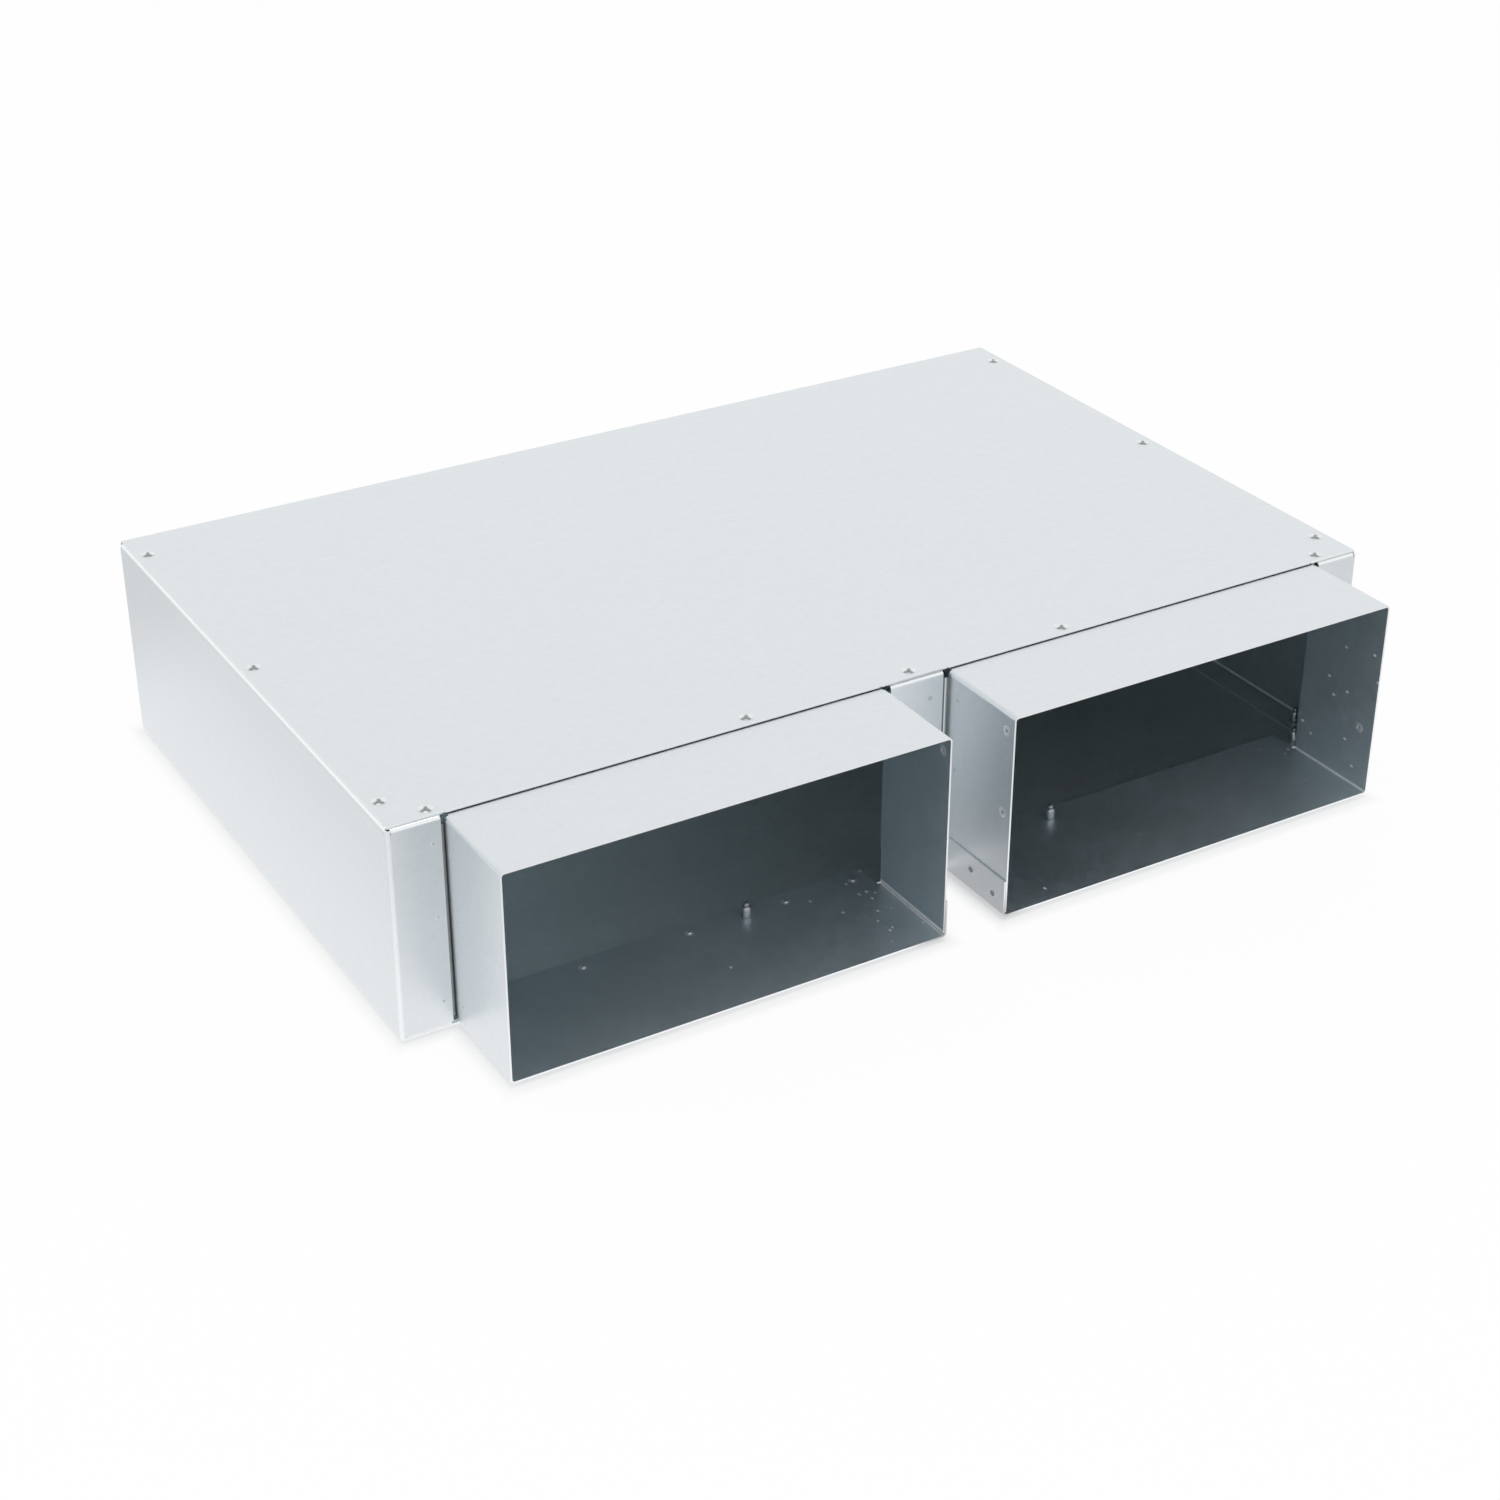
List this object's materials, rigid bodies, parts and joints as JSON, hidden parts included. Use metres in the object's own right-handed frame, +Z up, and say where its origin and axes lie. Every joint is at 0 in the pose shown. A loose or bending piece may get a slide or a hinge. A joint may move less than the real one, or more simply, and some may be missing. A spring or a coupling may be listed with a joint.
{
  "type": "flat duct manifold",
  "caption": "Shallow galvanised sheet-metal plenum box with two rectangular duct spigots on its front and blind rivets along its folded edges.",
  "frame": {"origin": "centre of the whole part's footprint, on the plane of the lower rivet heads", "axes": "+X along the front from left to right, -Y out of the spigots, +Z up"},
  "size_m": [0.5, 0.36, 0.1038],
  "materials": {
    "galvanised_sheet": "fine-spangle hot-dip galvanised steel, satin",
    "rivet_aluminium": "bright aluminium blind rivets"
  },
  "bodies": {
    "root": {"casing_wrap": "galvanised_sheet", "front_and_sides": "galvanised_sheet", "left_spigot": "galvanised_sheet", "right_spigot": "galvanised_sheet", "top_front_rivets": "rivet_aluminium", "top_left_rivets": "rivet_aluminium", "top_right_rivets": "rivet_aluminium", "bottom_front_rivets": "rivet_aluminium", "bottom_left_rivets": "rivet_aluminium", "bottom_right_rivets": "rivet_aluminium"}
  },
  "joints": []
}
